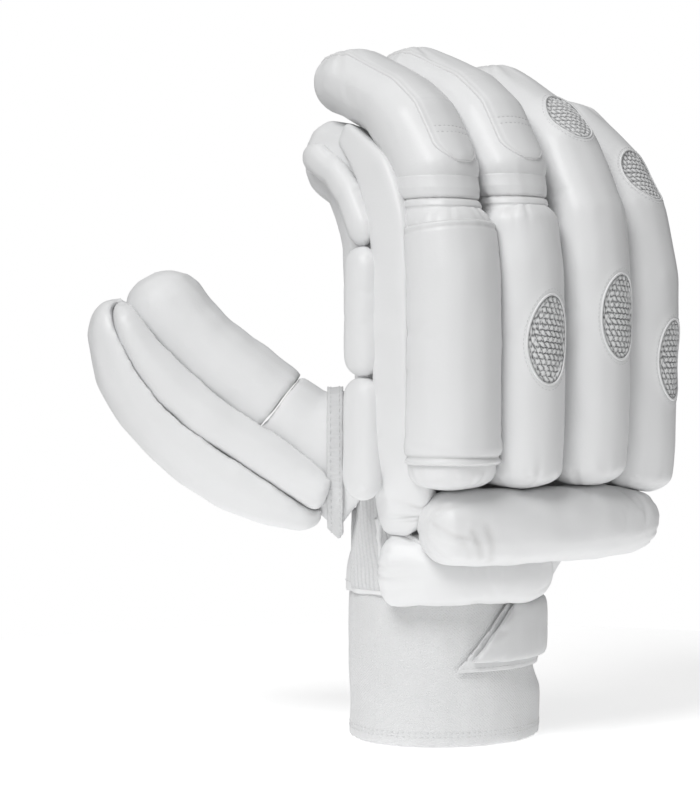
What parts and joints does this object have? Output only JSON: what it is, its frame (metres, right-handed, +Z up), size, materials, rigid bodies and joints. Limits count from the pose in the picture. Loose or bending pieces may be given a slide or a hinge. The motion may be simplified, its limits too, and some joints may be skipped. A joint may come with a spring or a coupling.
{
  "type": "cricket batting glove",
  "caption": "Right-hand cricket batting glove with padded finger rolls, knuckle bolster, guarded thumb and strapped towelling cuff, curled as around a bat handle.",
  "frame": {"origin": "centre of the cuff's opening, where the wrist goes in", "axes": "+Z up from the wrist to the fingers, -Y out from the back of the hand, -X towards the thumb, +X towards the little finger"},
  "size_m": [0.1875, 0.1422, 0.2574],
  "materials": {
    "padding_skin": "smooth satin coated skin over foam",
    "palm_leather": "soft matt leather with fine grain",
    "cuff_towelling": "close knitted towelling, matt",
    "trim_cloth": "ribbed woven cloth",
    "vent_mesh": "open diamond mesh",
    "strap_skin": "smooth satin coated skin"
  },
  "bodies": {
    "root": {"cuff": "cuff_towelling", "hand_shell": "palm_leather", "index_stall": "palm_leather", "middle_stall": "palm_leather", "ring_stall": "palm_leather", "little_stall": "palm_leather", "thumb_base": "palm_leather", "thumb_stall": "padding_skin", "index_base_roll": "padding_skin", "index_wrap": "padding_skin", "index_tip_roll": "padding_skin", "middle_base_roll": "padding_skin", "middle_tip_roll": "padding_skin", "ring_roll": "padding_skin", "little_roll": "padding_skin", "knuckle_roll": "padding_skin", "wrist_roll": "padding_skin", "middle_vent": "vent_mesh", "ring_vent_lower": "vent_mesh", "ring_vent_upper": "vent_mesh", "little_vent_lower": "vent_mesh", "little_vent_upper": "vent_mesh", "index_tip_panel": "padding_skin", "middle_tip_panel": "padding_skin", "side_bar_lower": "padding_skin", "side_bar_middle": "padding_skin", "side_bar_upper": "padding_skin", "thumb_edging": "trim_cloth", "thumb_inner_guard": "padding_skin", "thumb_outer_guard": "padding_skin", "side_gusset": "trim_cloth", "cuff_strap": "strap_skin", "cuff_tab": "strap_skin"}
  },
  "joints": []
}
